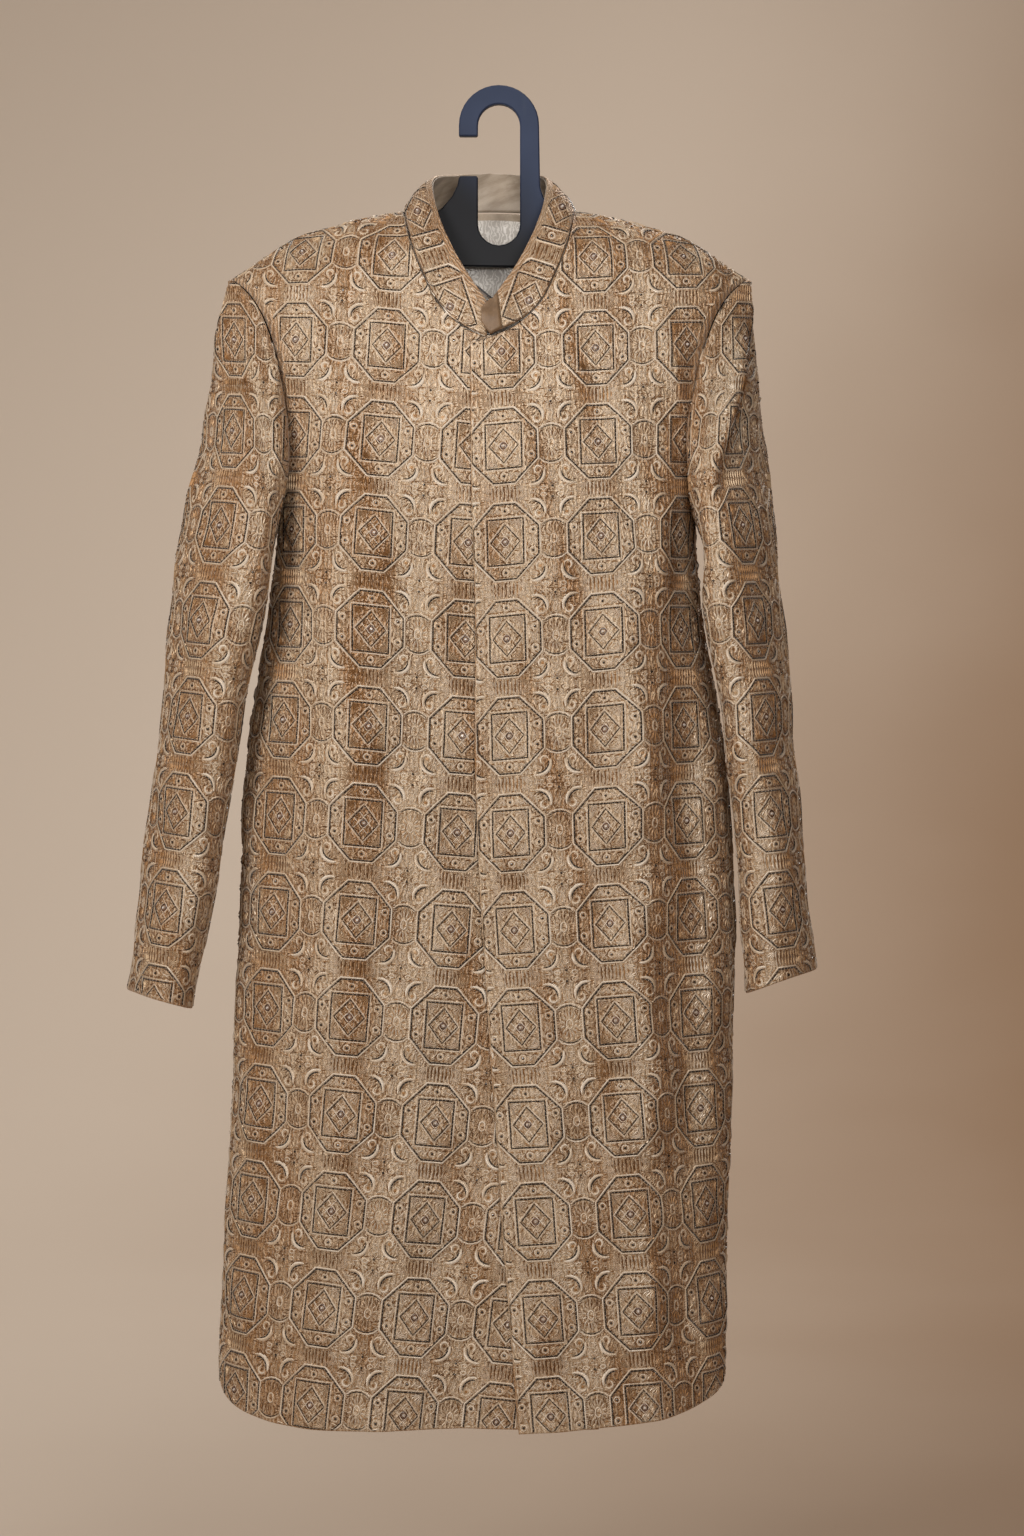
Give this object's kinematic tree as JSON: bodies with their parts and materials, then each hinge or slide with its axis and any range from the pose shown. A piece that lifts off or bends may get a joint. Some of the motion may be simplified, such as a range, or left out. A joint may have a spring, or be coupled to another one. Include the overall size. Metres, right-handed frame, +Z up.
{
  "type": "sherwani coat on a hanger",
  "caption": "Knee-length brocade coat with a stand collar and long sleeves, closed at the front, hanging open-necked on a flat hanger by its hook.",
  "frame": {"origin": "underside of the hook's crown, where the hanger bears on the rail that holds it", "axes": "+Z up the hook; -Y out of the coat's front; +X to the wearer's left, which is the right of a front view"},
  "size_m": [0.6175, 0.2053, 1.1997],
  "materials": {
    "brocade": "silk brocade with raised cord, bead and stone embroidery",
    "satin_lining": "satin",
    "brocade_lining": "silvery brocade",
    "satin_tab": "satin",
    "slate_plastic": "matte moulded"
  },
  "bodies": {
    "root": {"front_right": "brocade", "front_left": "brocade", "back": "brocade", "sleeve_right": "brocade", "sleeve_left": "brocade", "collar": "brocade", "collar_lining": "satin_lining", "collar_tab": "satin_tab", "back_lining": "brocade_lining", "hanger": "slate_plastic"}
  },
  "joints": []
}
